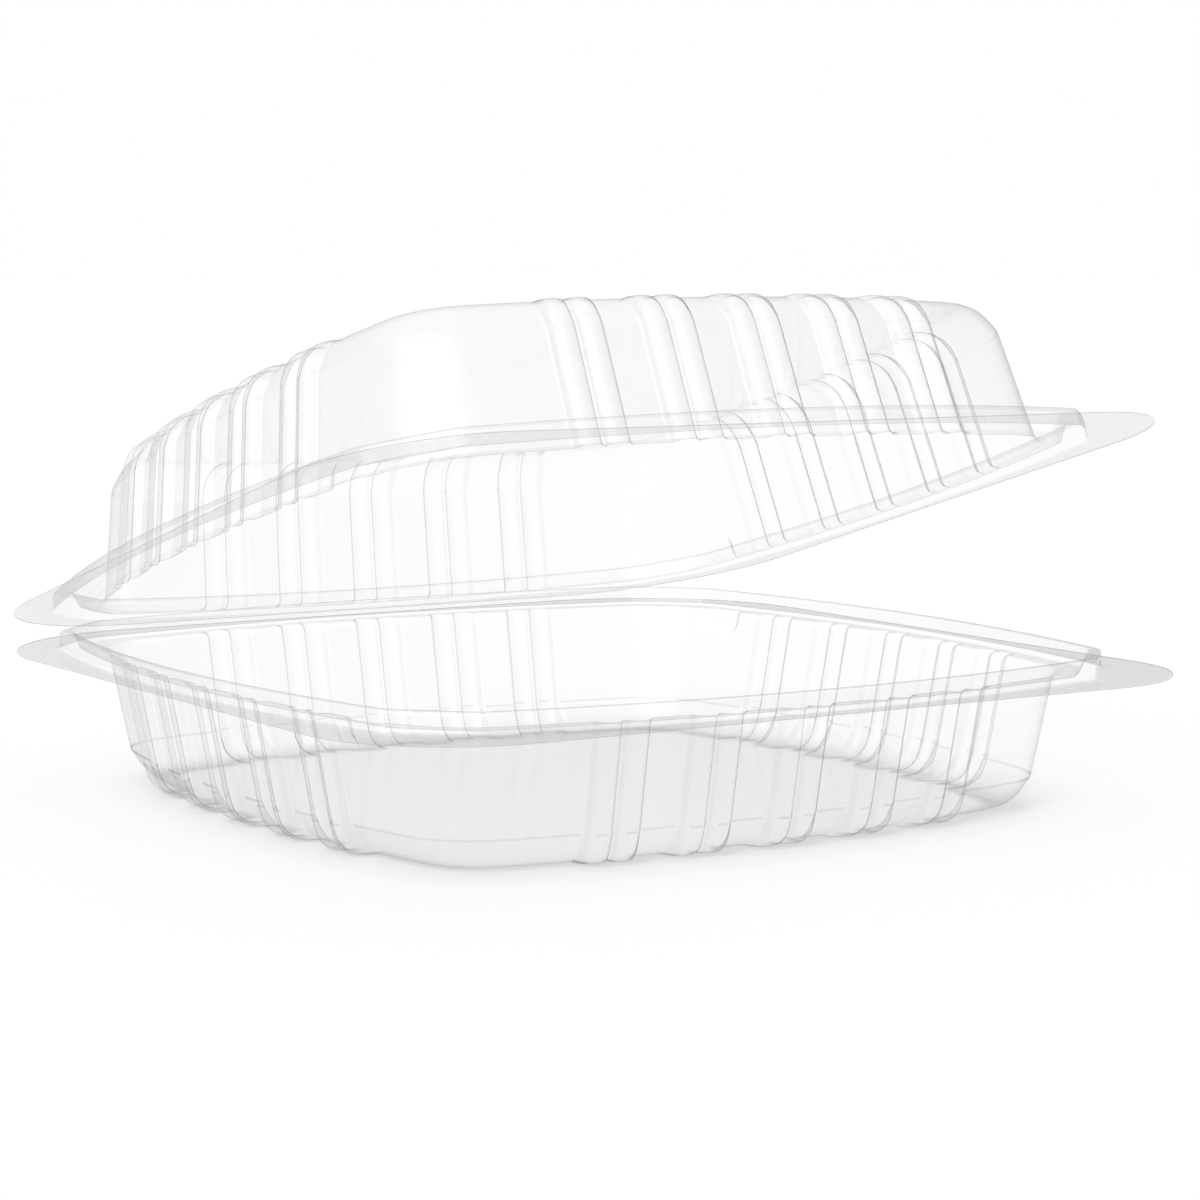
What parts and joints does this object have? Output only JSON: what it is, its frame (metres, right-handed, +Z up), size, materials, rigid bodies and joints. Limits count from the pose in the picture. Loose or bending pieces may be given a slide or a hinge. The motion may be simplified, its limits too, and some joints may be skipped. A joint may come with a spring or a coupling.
{
  "type": "plastic clamshell pack",
  "caption": "Clear thermoformed food container, square with rounded corners: a fluted tray and a fluted lid that fold on one crease and snap shut rim over rim.",
  "frame": {"origin": "centre of the tray's flat base, on the surface it rests on", "axes": "+Z up, X along the hinge crease, the hinge at +Y and the opening at -Y"},
  "size_m": [0.2286, 0.2304, 0.1258],
  "materials": {
    "clear_plastic": "gloss"
  },
  "bodies": {
    "tray": {"tray": "clear_plastic"},
    "lid": {"lid": "clear_plastic"}
  },
  "joints": [
    {"name": "lid_hinge", "type": "hinge", "parent": "tray", "child": "lid", "pos_m": [0, 0.11535, 0.03365], "axis": [-1, 0, 0], "range_deg": [-15.7, 154.3]}
  ]
}
